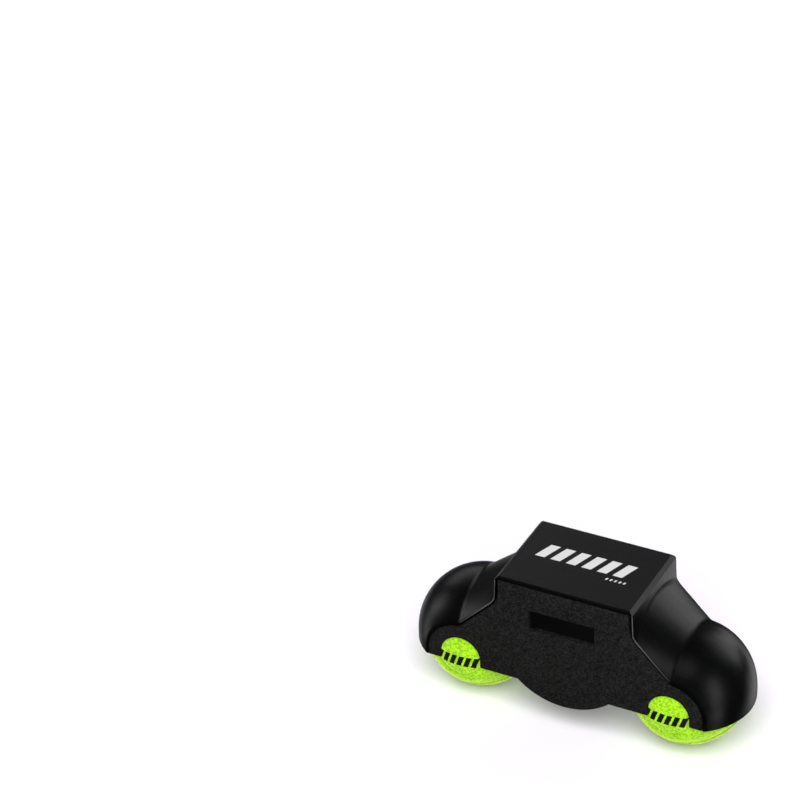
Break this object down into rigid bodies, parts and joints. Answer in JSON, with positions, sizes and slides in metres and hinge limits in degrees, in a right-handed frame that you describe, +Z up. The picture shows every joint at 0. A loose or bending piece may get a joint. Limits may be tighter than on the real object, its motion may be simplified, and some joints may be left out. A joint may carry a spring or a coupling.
{
  "type": "bicycle trainer rocker foot",
  "caption": "Black moulded foot with a rectangular leg socket and domed ends, standing on captive tennis balls that let an indoor bicycle trainer rock.",
  "frame": {"origin": "on the floor, midway between the two contact flats of the balls", "axes": "+Z up, X from ball to ball, +Y towards the open mouth of the leg socket, -Y towards the plate with the viewing slot"},
  "size_m": [0.1982, 0.066, 0.0934],
  "materials": {
    "housing": "moulded black, satin gloss",
    "outer_plate": "fine spark-eroded grain",
    "inner_plate": "fine satin",
    "socket_plastic": "satin",
    "liner_rubber": "matte",
    "frame_plastic": "satin",
    "base_plastic": "satin",
    "screw_steel": "zinc plated",
    "ball_core": "matte",
    "ball_felt": "nylon and wool felt, optic yellow",
    "ball_seam": "matte"
  },
  "bodies": {
    "housing": {"shell": "housing", "outer_plate": "outer_plate", "inner_plate": "inner_plate", "socket_sleeve": "socket_plastic", "socket_liner": "liner_rubber", "rib_frame": "frame_plastic", "base_cover": "base_plastic", "base_screws": "screw_steel"},
    "left_ball": {"left_core_upper": "ball_core", "left_core_lower": "ball_core", "left_felt_side_panel": "ball_felt", "left_felt_crown_panel": "ball_felt", "left_seam": "ball_seam"},
    "right_ball": {"right_core_upper": "ball_core", "right_core_lower": "ball_core", "right_felt_side_panel": "ball_felt", "right_felt_crown_panel": "ball_felt", "right_seam": "ball_seam"}
  },
  "joints": [
    {"name": "left_ball_turn", "type": "hinge", "parent": "housing", "child": "left_ball", "pos_m": [-0.0623, 0, 0.0325], "axis": [0, 1, 0], "continuous": true},
    {"name": "right_ball_turn", "type": "hinge", "parent": "housing", "child": "right_ball", "pos_m": [0.0623, 0, 0.0325], "axis": [0, 1, 0], "continuous": true}
  ]
}
